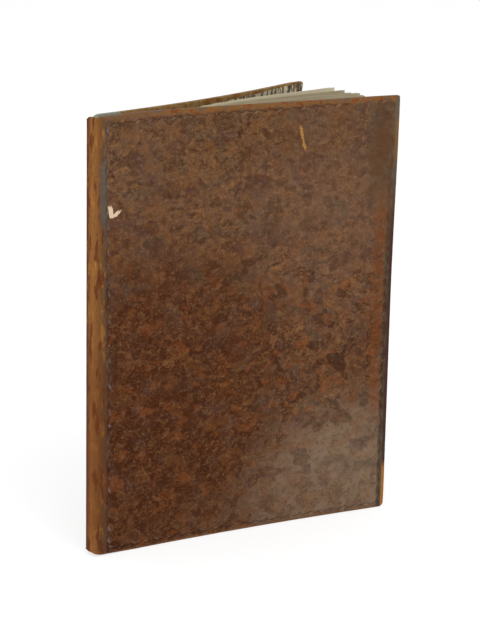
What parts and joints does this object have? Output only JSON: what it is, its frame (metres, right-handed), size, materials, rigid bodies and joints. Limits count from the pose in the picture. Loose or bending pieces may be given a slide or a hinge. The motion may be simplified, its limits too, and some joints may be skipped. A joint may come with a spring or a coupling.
{
  "type": "antique leather book",
  "caption": "Thin antique quarto book in mottled calf over pasteboard, standing ajar on its tail, with hinged covers, marbled endpapers and a fanned block of sewn leaves.",
  "frame": {"origin": "At the foot of the spine, in the plane of the two hinge lines, midway between them, on the surface that the book stands on.", "axes": "+X runs from the spine to the fore-edge along the middle of the leaves, +Y from the front cover to the rear cover, +Z from the tail of the book to its head."},
  "size_m": [0.1576, 0.0685, 0.205],
  "materials": {
    "calf": "mottled calf, worn, satin",
    "pasteboard": "grey-brown pasteboard, matt",
    "marbled_paper": "marbled, matt",
    "rag_paper": "aged, matt",
    "lining_paper": "waste paper, matt",
    "endband_thread": "undyed thread over a core, matt",
    "linen_cord": "linen, matt"
  },
  "bodies": {
    "book_block": {"spine_leather": "calf", "spine_lining": "lining_paper", "text_block": "rag_paper", "front_free_endpaper": "marbled_paper", "rear_free_endpaper": "marbled_paper", "sewing_cord_1": "linen_cord", "sewing_cord_2": "linen_cord", "sewing_cord_3": "linen_cord", "sewing_cord_4": "linen_cord", "tail_kettle_stitch": "linen_cord", "head_kettle_stitch": "linen_cord", "tail_endband": "endband_thread", "head_endband": "endband_thread"},
    "front_cover": {"front_cover_leather": "calf", "front_board": "pasteboard", "front_pastedown": "marbled_paper", "front_cord_slip_1": "linen_cord", "front_cord_slip_2": "linen_cord", "front_cord_slip_3": "linen_cord", "front_cord_slip_4": "linen_cord"},
    "rear_cover": {"rear_cover_leather": "calf", "rear_board": "pasteboard", "rear_pastedown": "marbled_paper", "rear_cord_slip_1": "linen_cord", "rear_cord_slip_2": "linen_cord", "rear_cord_slip_3": "linen_cord", "rear_cord_slip_4": "linen_cord"}
  },
  "joints": [
    {"name": "front_hinge", "type": "hinge", "parent": "book_block", "child": "front_cover", "pos_m": [0, -0.00425, 0], "axis": [0, 0, -1], "range_deg": [-4.5, 163]},
    {"name": "rear_hinge", "type": "hinge", "parent": "book_block", "child": "rear_cover", "pos_m": [0, 0.00425, 0], "axis": [0, 0, 1], "range_deg": [-1.2, 164.5]}
  ]
}
